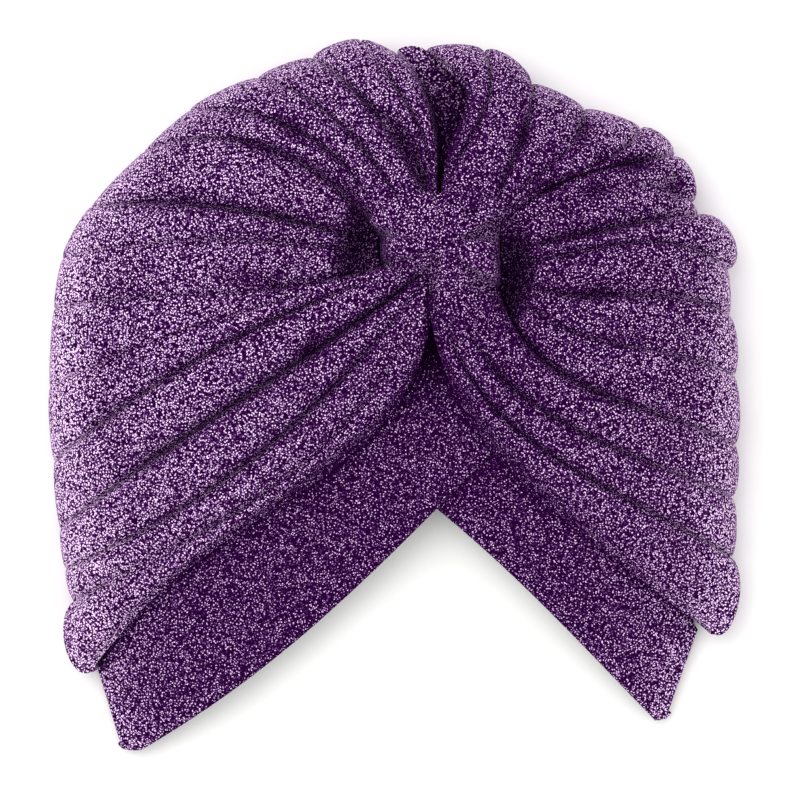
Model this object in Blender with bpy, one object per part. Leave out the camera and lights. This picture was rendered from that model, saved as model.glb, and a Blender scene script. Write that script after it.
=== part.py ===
"""A turban cap lying on its back, with its knot up, the crown at +Y and the face opening at -Y.

The crown's front is two fans of folds that run from a wound knot to the outer edge and turn under
there. The back is one flat panel. A headband goes round the face opening: it starts at the middle of
the forehead, goes round the back and ends there again, with its first end over its last.

Lengths are in millimetres and angles in degrees until a mesh is made. The origin is on the floor,
under the middle of the cap.
"""

import math
from collections import namedtuple

import bpy
import numpy as np

MM = 0.001

# Cloth and the gaps between the pieces.
CLOTH = 1.6
PIECE_GAP = 0.4
LAP = CLOTH + PIECE_GAP
HEM_GAP = 0.8
HEM_LANDS = 0.4

# The rim, where the front of the crown turns under to the floor.
UNDER_RUN = 8.0
FLANGE = 6.0
BACK_GAP = 0.6
HEART = (5.0, 15.0)

# The shape of a fold's length: a full pillow that falls off towards the rim.
PILLOW_POWER = 3.0
PILLOW_ROUND = 0.5
ROOT_REACH = 0.2
CUT_FULL = 0.35
RIM_STARTS = 0.55
HANDLE = 0.38

# How deep a crease may be cut for the width of the folds beside it.
TIGHTEST_BEND = CLOTH + 1.0
NARROW = 6.0
WALL_SLOPE = 1.0
MOST_STRETCH = 1.8

# The headband's height. It is CORNER_HEIGHT high at the folded side corners, and swells inward of
# them. From the hem, which falls off on both sides of its peak, it rises towards the knot.
Side = namedtuple("Side", "x y inward")
LEFT_SIDE = Side(-101.0, -131.0, 18)
RIGHT_SIDE = Side(100.0, -122.0, 158)
HEM_PEAK = (17.2, -41.6)
HEM_FALL = 0.9
HEM_SOFT = 12.0
CORNER_HEIGHT = 6.6
HEM_SWELL = 9.0
HEM_SWELL_RUN = 30.0
HEM_RISE = 0.2
HEM_RISE_RUN = 40.0

# The headband's first end lies over its last between these places in x.
LAP_STARTS = -22.0
LAP_FULL = 0.0
LAP_FADES = 46.0
LAP_ENDS = 60.0
END_SHARE = 0.85

# How far the headband's upper edge is tucked under a drape, up to where it leaves for the corner.
TUCK = 7.0
TUCK_ENDS = 0.72
TANGENT_STEP = 0.01
CORNER_INSET = (1.6, 2.0)

# The knot.
KNOT_CENTRE = (20.0, 54.0)
KNOT_TOP = 58.5
KNOT_FLOOR = 22.0
KNOT_INSET = 0.8
KNOT_RINGS = (
    (0.93, KNOT_FLOOR),
    (0.98, 37.0),
    (1.0, 48.0),
    (0.99, 51.5),
    (0.95, 54.3),
    (0.86, 56.3),
    (0.7, 57.6),
    (0.4, 58.3),
)

# Where each row of a panel's mesh lies: along the fold, and round the turned rim in degrees.
ALONG = (0.0, 0.06, 0.14, 0.24, 0.36, 0.48, 0.6, 0.72, 0.83, 0.92, 0.98, 1.0)
ROUND_RIM = (45.0, 90.0)
ACROSS = (0.0, 0.095, 0.345, 0.655, 0.905)

# Each row is a crease and the fold after it. The crease leaves the knot at root_x, root_y in the
# direction leave, and reaches the rim at rim_x, rim_y in the direction arrive. The folds' crests
# there are root_z high at the knot, swell_z in the middle and edge_z at the rim, and the crease is
# cut root_cut, mid_cut and edge_cut below them. The fold after it stands lobe out of the outline.
# The hem of a drape lies on the headband, which gives its swell_z and edge_z.
Fold = namedtuple(
    "Fold",
    "name root_x root_y leave rim_x rim_y arrive root_z swell_z edge_z root_cut mid_cut edge_cut lobe",
)

LEFT_FOLDS = (
    Fold("parting_left", 16.0, 68.4, 88, 1.5, 127.0, 128, 53, 47, 12, 1, 15, 5, 1.8),
    Fold("top_inner", 14.0, 68.6, 96, -12.5, 132.2, 126, 54, 47, 12, 1, 5, 3, 2.5),
    Fold("top_deep", 11.8, 68.8, 112, -30.5, 125.5, 143, 54, 48, 12, 2, 9, 4, 1.8),
    Fold("shoulder", 5.0, 67.6, 122, -51.0, 118.0, 162, 54, 48, 12, 2, 5, 4, 2.0),
    Fold("hollow_edge", -5.2, 62.0, 110, -76.4, 106.0, 182, 50, 48, 12, 1, 6, 4, 0.8),
    Fold("side_1", -5.8, 58.5, 128, -93.8, 90.3, 200, 34, 47, 12, 1, 6, 4, 0.8),
    Fold("side_2", -5.8, 55.5, 158, -113.5, 70.0, 184, 28, 46, 12, 1, 7, 4, 1.5),
    Fold("side_3", -5.8, 51.8, 172, -124.0, 51.0, 190, 26, 45, 12, 1, 2, 2, 0.8),
    Fold("drape_edge", -5.2, 47.8, 194, -127.2, 32.0, 190, 40, 45, 12, 1, 4, 3, 0.8),
    Fold("side_4", -1.5, 46.2, 196, -128.8, 2.5, 206, 47, 45, 12, 0, 1.5, 2, 1.2),
    Fold("drape_1", 4.0, 45.8, 200, -127.2, -25.0, 214, 50, 44, 12, 0, 4, 4, 1.0),
    Fold("drape_2", 11.0, 45.4, 226, -125.0, -50.5, 213, 50, 43, 11, 1, 9, 4, 1.0),
    Fold("drape_3", 12.2, 41.6, 240, -123.0, -65.5, 204, 49, 42, 10, 1, 8, 3, 1.2),
    Fold("drape_4", 12.4, 38.6, 250, -120.0, -77.5, 208, 47, 40, 9, 0, 2, 3, 8.5),
    Fold("drape_hem", 12.6, 35.6, 268, -112.8, -103.4, 240, 46, 0, 0, 1, 9, 1, 0.0),
)

RIGHT_FOLDS = (
    Fold("parting_right", 18.4, 68.2, 72, 12.6, 128.5, 128, 53, 47, 12, 1, 15, 5, 3.2),
    Fold("top_1", 25.0, 68.0, 84, 33.6, 128.0, 98, 54, 47, 12, 0, 4, 5, 4.4),
    Fold("top_2", 36.8, 66.4, 78, 51.2, 115.8, 92, 54, 48, 12, 1, 5, 4, 2.0),
    Fold("top_3", 39.2, 62.6, 48, 71.0, 106.5, 76, 48, 48, 12, 1, 3, 4, 2.0),
    Fold("top_4", 39.6, 59.6, 40, 92.0, 99.5, 50, 42, 48, 12, 1, 3, 4, 3.8),
    Fold("top_5", 39.6, 56.6, 38, 104.5, 88.5, 16, 36, 47, 12, 1, 8, 5, 4.8),
    Fold("pocket", 39.6, 54.0, 24, 111.5, 71.5, -30, 33, 46, 12, 0, 1, 4, 0.5),
    Fold("side_1", 39.8, 51.6, 8, 113.8, 66.8, 4, 31, 46, 12, 1, 6, 4, 8.0),
    Fold("side_2", 40.0, 49.0, 4, 124.8, 46.5, -36, 27, 46, 12, 1, 5, 4, 1.0),
    Fold("side_3", 40.2, 46.2, -38, 125.5, 29.0, -30, 25, 45, 12, 1, 6, 4, 2.6),
    Fold("side_4", 40.2, 43.0, -62, 127.0, 7.0, -24, 26, 45, 12, 1, 5, 3, 2.4),
    Fold("drape_edge", 39.6, 38.4, -78, 127.6, -19.0, -26, 42, 44, 12, 1, 3, 3, 2.4),
    Fold("drape_1", 24.0, 35.4, -68, 126.5, -38.5, -24, 52, 43, 11, 1, 6, 3, 2.6),
    Fold("drape_2", 18.0, 35.6, -78, 126.0, -61.0, -32, 48, 42, 10, 1, 7, 4, 7.6),
    Fold("drape_hem", 14.2, 36.4, -82, 119.5, -89.5, -42, 47, 0, 0, 1, 9, 1, 0.0),
)

# A run of the headband's edge, from one point and direction to another.
Run = namedtuple("Run", "name start_x start_y leave end_x end_y arrive")

LEFT_HEM = Run("left_hem", -95.2, -134.0, 31, 41.3, -17.4, 45)
RIGHT_HEM = Run("right_hem", -3.0, -28.0, -37, 98.2, -122.8, -46)
LEFT_END_TOP = (24.0, 31.0)
RIGHT_START_TOP = (4.0, 30.0)

# The headband's stations from the last front one round each corner to the first back one. Level is
# 1 on the front layer and 0 on the floor.
Station = namedtuple("Station", "hem_x hem_y top_x top_y level")

LEFT_CORNER = (
    Station(-100.4, -133.8, -110.4, -101.6, 0.87),
    Station(-103.2, -130.6, -111.8, -102.6, 0.5),
    Station(-100.4, -133.0, -110.2, -101.2, 0.13),
)
BACK = (
    Station(-94.0, -131.0, -106.5, -97.6, 0.0),
    Station(-58.0, -105.4, -74.0, -70.0, 0.0),
    Station(-14.0, -69.0, -34.0, -34.0, 0.0),
    Station(17.0, -40.4, 17.0, 8.0, 0.0),
    Station(48.0, -67.6, 66.0, -40.0, 0.0),
    Station(77.0, -97.8, 92.0, -66.0, 0.0),
    Station(94.0, -116.5, 111.4, -84.8, 0.0),
)
RIGHT_CORNER = (
    Station(100.8, -121.4, 113.2, -86.9, 0.13),
    Station(103.4, -119.0, 114.2, -88.4, 0.5),
    Station(101.2, -122.4, 113.8, -88.8, 0.87),
)
HEADBAND_ACROSS = (0.0, 0.35, 0.7, 1.0)
HEADBAND_STATIONS = 11

# Colours as linear red, green and blue.
PLUM = (0.072, 0.018, 0.105)
DARK_PLUM = (0.045, 0.012, 0.068)
CLOTH_ROUGHNESS = 0.6
SHARP_ANGLE = 50.0


def smooth(value):
    """Goes from 0 to 1 without a corner at either end."""
    value = np.clip(value, 0.0, 1.0)
    return value * value * (3.0 - 2.0 * value)


def mix(first, second, share):
    return first + (second - first) * share


def heading(degrees):
    angle = math.radians(degrees)
    return np.array([math.cos(angle), math.sin(angle)])


def bezier(start, leave, end, arrive, t):
    """A curve from start to end that keeps to the two directions at its ends."""
    start = np.array(start)
    end = np.array(end)
    reach = HANDLE * np.linalg.norm(end - start)
    out = start + reach * heading(leave)
    back = end - reach * heading(arrive)
    t = np.asarray(t)[:, None]
    s = 1.0 - t
    return s**3 * start + 3 * s**2 * t * out + 3 * s * t**2 * back + t**3 * end


def crease_line(fold, t):
    return bezier(
        (fold.root_x, fold.root_y), fold.leave, (fold.rim_x, fold.rim_y), fold.arrive, t
    )


def run_line(run, t):
    return bezier((run.start_x, run.start_y), run.leave, (run.end_x, run.end_y), run.arrive, t)


def inside(side, x, y):
    """How far a point lies inward of one of the headband's folded sides."""
    across, along = heading(side.inward)
    return np.clip(across * (x - side.x) + along * (y - side.y), 0.0, None)


def headband_height(x, y):
    """The height of the headband's front over the floor: low at the side corners, higher in the
    middle and rising from the hem towards the knot."""
    side = np.minimum(inside(LEFT_SIDE, x, y), inside(RIGHT_SIDE, x, y))
    peak_x, peak_y = HEM_PEAK
    above = y - peak_y + HEM_FALL * (np.hypot(x - peak_x, HEM_SOFT) - HEM_SOFT)
    above = np.clip(above, 0.0, None)
    swell = HEM_SWELL * np.tanh(side / HEM_SWELL_RUN)
    rise = HEM_RISE * above * np.tanh(side / HEM_RISE_RUN)
    return CORNER_HEIGHT + swell + rise


def headband_lap(x):
    """How far the headband's first end is lifted to lie over its last."""
    start = smooth((x - LAP_STARTS) / (LAP_FULL - LAP_STARTS))
    end = smooth((x - LAP_FADES) / (LAP_ENDS - LAP_FADES))
    return LAP * start * (1.0 - end)


def headband_top(x, y):
    return headband_height(x, y) + headband_lap(x)


def near_rim(t):
    return smooth((t - RIM_STARTS) / (1.0 - RIM_STARTS))


def crease_cut(fold, t):
    cut = mix(fold.root_cut, fold.mid_cut, smooth(t / CUT_FULL))
    return mix(cut, fold.edge_cut, near_rim(t))


def crest_height(fold, t):
    """The height of the folds' crests over a crease. The hem of a drape hangs over the headband, so
    its crest is measured from there."""
    if fold.name == "drape_hem":
        line = crease_line(fold, t)
        on_band = headband_top(line[:, 0], line[:, 1]) + HEM_GAP + crease_cut(fold, t)
        return mix(fold.root_z, on_band, smooth(t / HEM_LANDS))
    pillow = fold.edge_z + (fold.swell_z - fold.edge_z) * (1.0 - t**PILLOW_POWER) ** PILLOW_ROUND
    return mix(fold.root_z, pillow, smooth(t / ROOT_REACH))


def inward(fold):
    """The direction in which the rim turns under at a crease: towards the heart of the crown, but
    back along its own line at the parting, where the two panels meet."""
    if fold.name.startswith("parting"):
        return -heading(fold.arrive)
    step = np.array(HEART) - np.array([fold.rim_x, fold.rim_y])
    return step / np.linalg.norm(step)


def widths(folds, t):
    """The distance in plan from each crease to the next, along the creases."""
    lines = [crease_line(fold, t) for fold in folds]
    return [np.linalg.norm(b - a, axis=1) for a, b in zip(lines, lines[1:])]


def roundest_cut(width):
    """The deepest cut that still lets the cloth's inner face turn with the fold."""
    return width**2 / (8.0 * TIGHTEST_BEND)


def crease_depths(folds, flat_first):
    """How far each crease is cut below the crests, along it. Where two creases run close together
    the cut is shallow, so that the cloth's inner face doesn't meet itself."""
    t = np.array(ALONG)
    gaps = widths(folds, t)
    depths = []
    for k, fold in enumerate(folds):
        beside = [gaps[j] for j in (k - 1, k) if 0 <= j < len(gaps) and not (flat_first and j == 0)]
        if not beside:
            beside = [gaps[1]]
        width = np.min(beside, axis=0)
        limit = roundest_cut(width) + WALL_SLOPE * np.clip(width - NARROW, 0.0, None)
        depths.append(np.minimum(crease_cut(fold, t), limit))
    return depths


def fold_column(folds, depths, k, f, flat):
    """One column of a panel's mesh, from the knot to the end of the flange under the rim.

    The column lies the share f of the way from crease k to the next. A fold is round across, so
    its skin is cut below the crests by (1 - arch) with arch = sqrt(1 - (2f - 1)^2).
    """
    first, second = folds[k], folds[k + 1]
    t = np.array(ALONG)
    first_line = crease_line(first, t)
    second_line = crease_line(second, t)
    width = np.linalg.norm(second_line - first_line, axis=1)
    plan = mix(first_line, second_line, f)
    arch = 0.0 if flat else math.sqrt(max(0.0, 1.0 - (2.0 * f - 1.0) ** 2))
    cut = mix(depths[k], depths[k + 1], f)
    if 0.0 < arch:
        cut = np.minimum(cut, roundest_cut(width))
    crest = mix(crest_height(first, t), crest_height(second, t), f)
    height = crest - cut * (1.0 - arch)
    if second.name == "drape_hem":
        height = np.maximum(height, headband_top(plan[:, 0], plan[:, 1]) + HEM_GAP)

    step = mix(inward(first), inward(second), f)
    lobe = first.lobe * arch
    plan = plan - step * lobe * near_rim(t)[:, None]
    column = np.column_stack([plan, height])

    rim = mix(first_line[-1], second_line[-1], f)
    rim_height = height[-1]
    turned = []
    for degrees in ROUND_RIM:
        angle = math.radians(degrees)
        run = UNDER_RUN * (1.0 - math.cos(angle)) - lobe * math.cos(angle)
        turned.append([*(rim + step * run), rim_height * (1.0 - math.sin(angle))])
    turned.append([*(rim + step * (UNDER_RUN + FLANGE)), 0.0])
    return np.vstack([column, turned])


def panel_skin(folds, flat_first):
    """The outer skin of a fan of folds as a grid: rows from the knot to the flange, columns from
    crease to crease."""
    depths = crease_depths(folds, flat_first)
    columns = []
    for k in range(len(folds) - 1):
        flat = flat_first and k == 0
        shares = (0.0, 0.5) if flat else ACROSS
        for f in shares:
            columns.append(fold_column(folds, depths, k, f, flat))
    columns.append(fold_column(folds, depths, len(folds) - 2, 1.0, False))
    return np.stack(columns, axis=1)


def skin_normals(grid, turn):
    """Unit normals of a grid's vertices, and how much longer than the cloth is thick a step along
    them has to be to keep that thickness on the faces around."""
    down = grid[1:, :-1] - grid[:-1, 1:]
    across = grid[1:, 1:] - grid[:-1, :-1]
    faces = np.cross(down, across) * turn
    faces /= np.linalg.norm(faces, axis=2, keepdims=True)
    total = np.zeros_like(grid)
    corners = ((0, 0), (0, 1), (1, 0), (1, 1))
    rows, columns = faces.shape[:2]
    for i, j in corners:
        total[i : i + rows, j : j + columns] += faces
    normals = total / np.linalg.norm(total, axis=2, keepdims=True)
    cosine = np.zeros(grid.shape[:2])
    count = np.zeros(grid.shape[:2])
    for i, j in corners:
        here = normals[i : i + rows, j : j + columns]
        cosine[i : i + rows, j : j + columns] += (here * faces).sum(axis=2)
        count[i : i + rows, j : j + columns] += 1.0
    stretch = np.clip(count / cosine, 1.0, MOST_STRETCH)
    return normals, stretch


def add_mesh(name, vertices, faces, colour):
    """A mesh object in metres with its own material, its faces turned outward."""
    vertices = np.asarray(vertices, float)
    volume = 0.0
    for face in faces:
        for k in range(1, len(face) - 1):
            a, b, c = vertices[face[0]], vertices[face[k]], vertices[face[k + 1]]
            volume += np.dot(a, np.cross(b, c))
    if volume < 0.0:
        faces = [face[::-1] for face in faces]
    mesh = bpy.data.meshes.new(name)
    mesh.from_pydata((vertices * MM).tolist(), [], [list(map(int, face)) for face in faces])
    mesh.update()
    mesh.shade_smooth()
    mesh.set_sharp_from_angle(angle=math.radians(SHARP_ANGLE))
    material = bpy.data.materials.new(name + "_cloth")
    material.use_nodes = True
    shader = material.node_tree.nodes["Principled BSDF"]
    shader.inputs["Base Color"].default_value = (*colour, 1.0)
    shader.inputs["Roughness"].default_value = CLOTH_ROUGHNESS
    shader.inputs["Metallic"].default_value = 0.0
    mesh.materials.append(material)
    piece = bpy.data.objects.new(name, mesh)
    bpy.context.scene.collection.objects.link(piece)
    return piece


def sheet_between(name, outer, inner, colour):
    """A closed sheet of cloth between two grids, walled all round its edge."""
    rows, columns = outer.shape[:2]
    index = np.arange(rows * columns).reshape(rows, columns)
    faces = []
    for i in range(rows - 1):
        for j in range(columns - 1):
            ring = [index[i, j], index[i, j + 1], index[i + 1, j + 1], index[i + 1, j]]
            faces.append(ring)
            faces.append([k + rows * columns for k in reversed(ring)])
    edge = [*index[0, :-1], *index[:-1, -1], *index[-1, :0:-1], *index[:0:-1, 0]]
    for here, there in zip(edge, edge[1:] + edge[:1]):
        faces.append([there, here, here + rows * columns, there + rows * columns])
    vertices = np.vstack([outer.reshape(-1, 3), inner.reshape(-1, 3)])
    return add_mesh(name, vertices, faces, colour)


def keep_to_own_side(grid, depth, edge, beside):
    """Keeps the cloth's thickness at an edge column from reaching past that edge in plan."""
    along = np.gradient(grid[:, edge, :2], axis=0)
    along /= np.maximum(np.linalg.norm(along, axis=1, keepdims=True), 1e-6)
    own = grid[:, beside, :2] - grid[:, edge, :2]
    own = own - along * (own * along).sum(axis=1, keepdims=True)
    own /= np.maximum(np.linalg.norm(own, axis=1, keepdims=True), 1e-6)
    past = np.maximum((depth[:, edge, :2] * own).sum(axis=1, keepdims=True), 0.0)
    depth[:, edge, :2] -= past * own


def make_front_panel(name, folds, turn, flat_first, colour):
    """A fan of folds, one cloth thick."""
    outer = panel_skin(folds, flat_first)
    normals, stretch = skin_normals(outer, turn)
    depth = normals * (CLOTH * stretch)[:, :, None]
    keep_to_own_side(outer, depth, 0, 1)
    keep_to_own_side(outer, depth, -1, -2)
    inner = outer - depth
    inner[0] = outer[0] - np.array([0.0, 0.0, CLOTH])
    last = len(ALONG)
    hem = slice(-len(ACROSS) - 1, None)
    hang = headband_top(inner[:last, hem, 0], inner[:last, hem, 1]) + HEM_GAP
    inner[:last, hem, 2] = np.maximum(inner[:last, hem, 2], hang)
    inner[last + 1 :, :, 2] = CLOTH
    return sheet_between(name, outer, inner, colour)


def follow_drape(hem_fold, corner, t):
    """The headband's upper edge, tucked under a drape and ending at the side corner."""
    line = crease_line(hem_fold, t)
    ahead = crease_line(hem_fold, np.minimum(t + TANGENT_STEP, 1.0))
    behind = crease_line(hem_fold, np.maximum(t - TANGENT_STEP, 0.0))
    along = ahead - behind
    along /= np.linalg.norm(along, axis=1, keepdims=True)
    side = 1.0 if corner[0] > 0.0 else -1.0
    under = side * np.column_stack([-along[:, 1], along[:, 0]])
    tucked = line + TUCK * under
    leaves = smooth((t - TUCK_ENDS) / (1.0 - TUCK_ENDS))[:, None]
    return mix(tucked, np.array(corner), leaves)


def front_strip(hem_run, hem_fold, corner, free_top, corner_first):
    """The stations of one front half of the headband, from the side corner to its free end."""
    s = np.linspace(0.0, 1.0, HEADBAND_STATIONS)
    hem = run_line(hem_run, s if corner_first else 1.0 - s)
    top = follow_drape(hem_fold, corner, 1.0 - np.minimum(s / END_SHARE, 1.0))
    end = smooth((s - END_SHARE) / (1.0 - END_SHARE))[:, None]
    root_top = follow_drape(hem_fold, corner, np.zeros(1))
    top = np.where(end > 0.0, mix(root_top, np.array(free_top), end), top)
    return hem, top


def headband_skin():
    """The headband's outer skin as a grid of stations by points from the hem to the upper edge."""
    inset_x, inset_y = CORNER_INSET
    left_corner = (LEFT_CORNER[0].top_x + inset_x, LEFT_CORNER[0].top_y + inset_y)
    right_corner = (RIGHT_CORNER[-1].top_x - inset_x, RIGHT_CORNER[-1].top_y + inset_y)
    left_hem, left_top = front_strip(LEFT_HEM, LEFT_FOLDS[-1], left_corner, LEFT_END_TOP, True)
    right_hem, right_top = front_strip(RIGHT_HEM, RIGHT_FOLDS[-1], right_corner, RIGHT_START_TOP, False)
    rows = []
    for hem, top in zip(left_hem[::-1], left_top[::-1]):
        rows.append((hem, top, 1.0, 1.0))
    for station in (*LEFT_CORNER, *BACK, *RIGHT_CORNER):
        hem = np.array([station.hem_x, station.hem_y])
        top = np.array([station.top_x, station.top_y])
        rows.append((hem, top, station.level, 0.0))
    for hem, top in zip(right_hem, right_top):
        rows.append((hem, top, 1.0, 0.0))
    grid = []
    for hem, top, level, lifted in rows:
        points = np.array([mix(hem, top, share) for share in HEADBAND_ACROSS])
        height = headband_height(points[:, 0], points[:, 1]) + lifted * headband_lap(points[:, 0])
        grid.append(np.column_stack([points, level * height]))
    return np.array(grid)


def make_headband():
    outer = headband_skin()
    normals, stretch = skin_normals(outer, -1.0)
    inner = outer - normals * (CLOTH * stretch)[:, :, None]
    return sheet_between("headband", outer, inner, DARK_PLUM)


def make_back_panel():
    """The flat back: a plate inside the turned rim, down to the headband's back half."""
    run = UNDER_RUN + FLANGE + BACK_GAP
    left = np.array([[fold.rim_x, fold.rim_y] + inward(fold) * run for fold in LEFT_FOLDS])
    right = np.array([[fold.rim_x, fold.rim_y] + inward(fold) * run for fold in RIGHT_FOLDS])
    bottom = np.array([[station.top_x, station.top_y + BACK_GAP] for station in BACK])
    outline = np.vstack([left, bottom[1:-1], right[::-1]])
    count = len(outline)
    low = np.column_stack([outline, np.zeros(count)])
    high = np.column_stack([outline, np.full(count, CLOTH)])
    faces = [list(range(count))[::-1], list(range(count, 2 * count))]
    for k in range(count):
        there = (k + 1) % count
        faces.append([k, there, there + count, k + count])
    return add_mesh("back_panel", np.vstack([low, high]), faces, DARK_PLUM)


def knot_outline():
    """The line in plan where the folds meet the knot, its radius and its height at each point."""
    folds = (*LEFT_FOLDS, *RIGHT_FOLDS[::-1])
    return np.array([[fold.root_x, fold.root_y, fold.root_z] for fold in folds])


def make_knot():
    """The wound pad that fills the middle of the fan: steep sides and a rounded top."""
    outline = knot_outline()
    centre = np.array(KNOT_CENTRE)
    spoke = outline[:, :2] - centre
    radius = np.linalg.norm(spoke, axis=1, keepdims=True)
    spoke = spoke / radius
    radius = radius - KNOT_INSET
    rings = []
    for share, height in KNOT_RINGS:
        plan = centre + spoke * radius * share
        rings.append(np.column_stack([plan, np.full(len(plan), height)]))
    count = len(outline)
    vertices = [*np.vstack(rings), [*centre, KNOT_TOP], [*centre, KNOT_FLOOR]]
    faces = []
    for r in range(len(rings) - 1):
        for k in range(count):
            there = (k + 1) % count
            faces.append([r * count + k, r * count + there, (r + 1) * count + there, (r + 1) * count + k])
    last = (len(rings) - 1) * count
    top = len(rings) * count
    for k in range(count):
        there = (k + 1) % count
        faces.append([last + k, last + there, top])
        faces.append([there, k, top + 1])
    return add_mesh("knot", vertices, faces, PLUM)


def main():
    for piece in list(bpy.data.objects):
        bpy.data.objects.remove(piece)
    start = RIGHT_FOLDS[0]
    parting_floor = start._replace(
        name="parting_floor", root_x=start.root_x - PIECE_GAP, rim_x=start.rim_x - PIECE_GAP
    )
    make_front_panel("left_panel", (parting_floor, *LEFT_FOLDS), 1.0, True, PLUM)
    make_front_panel("right_panel", RIGHT_FOLDS, -1.0, False, PLUM)
    make_back_panel()
    make_headband()
    make_knot()


main()
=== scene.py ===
"""A turban cap of purple glitter jersey, lying on its back with the knot up.

The crown is at +Y and the face opening at -Y. The pieces are laid in the order in which the cap is
put together: headband, back of the crown, the two gathered fronts, and the knot over their roots.
Lengths are in millimetres and angles in degrees until a mesh is made.
"""

import math
from collections import namedtuple

import bpy
import numpy as np
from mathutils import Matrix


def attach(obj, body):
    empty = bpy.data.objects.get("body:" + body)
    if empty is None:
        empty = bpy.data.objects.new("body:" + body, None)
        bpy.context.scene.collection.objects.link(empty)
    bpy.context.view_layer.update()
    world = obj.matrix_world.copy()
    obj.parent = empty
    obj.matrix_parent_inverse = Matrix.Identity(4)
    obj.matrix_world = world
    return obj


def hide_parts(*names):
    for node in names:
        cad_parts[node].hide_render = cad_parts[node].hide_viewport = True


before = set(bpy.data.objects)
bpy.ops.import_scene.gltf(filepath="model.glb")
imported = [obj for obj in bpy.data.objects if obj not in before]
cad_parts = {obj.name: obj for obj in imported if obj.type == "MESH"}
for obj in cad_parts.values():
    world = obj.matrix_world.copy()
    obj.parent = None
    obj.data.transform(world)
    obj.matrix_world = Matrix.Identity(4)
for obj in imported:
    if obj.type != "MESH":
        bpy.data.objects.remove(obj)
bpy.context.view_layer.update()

# Headband
# A strip of the jersey, folded in two lengthwise, that goes once round the face opening. It starts
# at the middle of the forehead, where its first end is laid over its last and sewn down.

MM = 0.001

# A smooth line in plan from one point and direction to another. Its two handles are pull times the
# distance between its ends.
Line = namedtuple("Line", "start_x start_y leave end_x end_y arrive pull")

LEFT_HEM = Line(-95.2, -134.0, 31, 41.3, -17.4, 45, 0.38)
RIGHT_HEM = Line(-3.0, -28.0, -37, 98.2, -122.8, -46, 0.38)
LEFT_DRAPE = Line(12.6, 35.6, 268, -112.8, -103.4, 242, 0.38)
RIGHT_DRAPE = Line(14.2, 36.4, -85, 119.5, -89.5, -42, 0.38)

# The band is low at its folded sides and swells inward of them. It rises towards the knot from the
# line of its hem, which falls off on both sides of HEM_PEAK, and under the knot it dips. A side is
# a point on it and the direction inward.
LEFT_SIDE = (-101.0, -131.0, 18)
RIGHT_SIDE = (100.0, -122.0, 158)
HEM_PEAK = (17.2, -41.6)
HEM_FALL = 0.9
HEM_SOFT = 12.0
CORNER_HEIGHT = 6.6
HEM_SWELL = 9.0
HEM_SWELL_RUN = 30.0
HEM_RISE = 0.2
HEM_RISE_RUN = 40.0
DIP_AT = (14.0, 24.0)
DIP_DEPTH = 9.0
DIP_RUN = 17.0

# The lap at the forehead: its lift, and where along x it rises and falls.
LAP_LIFT = 2.4
LAP_STARTS = (-22.0, 0.0)
LAP_ENDS = (46.0, 60.0)

# The band's upper edge lies TUCK under the drapes. From TUCK_ENDS of a drape's way to the rim it
# leaves for the side corner, and past END_SHARE of its own front half it goes to its free end.
TUCK = 7.0
TUCK_ENDS = 0.72
END_SHARE = 0.85
LEFT_END_TOP = (24.0, 31.0)
RIGHT_START_TOP = (4.0, 30.0)
CORNER_INSET = (1.6, 2.0)

# Stations round the back: hem, upper edge, and how high the band lies there, from 1 on the front
# layer to 0 on the floor.
Station = namedtuple("Station", "hem_x hem_y top_x top_y level")
LEFT_CORNER = (
    Station(-100.4, -133.8, -110.4, -101.6, 0.87),
    Station(-103.2, -130.6, -111.8, -102.6, 0.5),
    Station(-100.4, -133.0, -110.2, -101.2, 0.13),
)
BACK = (
    Station(-94.0, -131.0, -106.5, -97.6, 0.0),
    Station(-58.0, -105.4, -74.0, -70.0, 0.0),
    Station(-14.0, -69.0, -34.0, -34.0, 0.0),
    Station(17.0, -40.4, 17.0, 8.0, 0.0),
    Station(48.0, -67.6, 66.0, -40.0, 0.0),
    Station(77.0, -97.8, 92.0, -66.0, 0.0),
    Station(94.0, -116.5, 111.4, -84.8, 0.0),
)
RIGHT_CORNER = (
    Station(100.8, -121.4, 113.2, -86.9, 0.13),
    Station(103.4, -119.0, 114.2, -88.4, 0.5),
    Station(101.2, -122.4, 113.8, -88.8, 0.87),
)
FRONT_STATIONS = 120
STEPS_BETWEEN = 10
BAND_ACROSS = 48
BAND_CROWDING = 1.5
BAND_THICK = 1.4
HEM_ROLL = 1.8
HEM_SAMPLES = 160
TINY = 1e-9

# The soft unevenness of the cloth: each layer's height, length and seed.
WAVES = 18
WAVE_SPREAD = (0.6, 1.7)
BAND_LUMPS = ((0.5, 34.0, 5), (0.2, 11.0, 6))

# Painted light on the band: a painted sheen that draws more of the metallised film at the folded sides,
# painted shade that draws less in the dip, and painted shadow at the drapes' hems and beside the lap, with
# how far each reaches. Here and on the other pieces the amounts are matched so that the cloth is as light
# and dark as the real one looks.
BAND_EDGE_PAINTED_SHEEN = 0.09
BAND_EDGE_RUN = 16.0
DIP_PAINTED_SHADE = 0.1
NEAR_HEM_PAINTED_SHADOW = 0.1
NEAR_HEM_RUN = 2.6
UNDER_LAP_PAINTED_SHADOW = 0.04
UNDER_LAP_RUN = 7.0


def smooth(value):
    """Goes from 0 to 1 without a corner at either end: 3 v^2 - 2 v^3."""
    value = np.clip(value, 0.0, 1.0)
    return value * value * (3.0 - 2.0 * value)


def mix(first, second, share):
    """The first at share 0 and the second at share 1: first + share (second - first)."""
    return first + (second - first) * share


def heading(degrees):
    """The unit vector in a direction: the cosine and the sine of its angle."""
    angle = math.radians(degrees)
    return np.array([math.cos(angle), math.sin(angle)])


def handles(line):
    """The four control points of a line's cubic curve: its ends, and a handle inward from each."""
    start = np.array([line.start_x, line.start_y])
    end = np.array([line.end_x, line.end_y])
    reach = line.pull * np.linalg.norm(end - start)
    return start, start + reach * heading(line.leave), end - reach * heading(line.arrive), end


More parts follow.
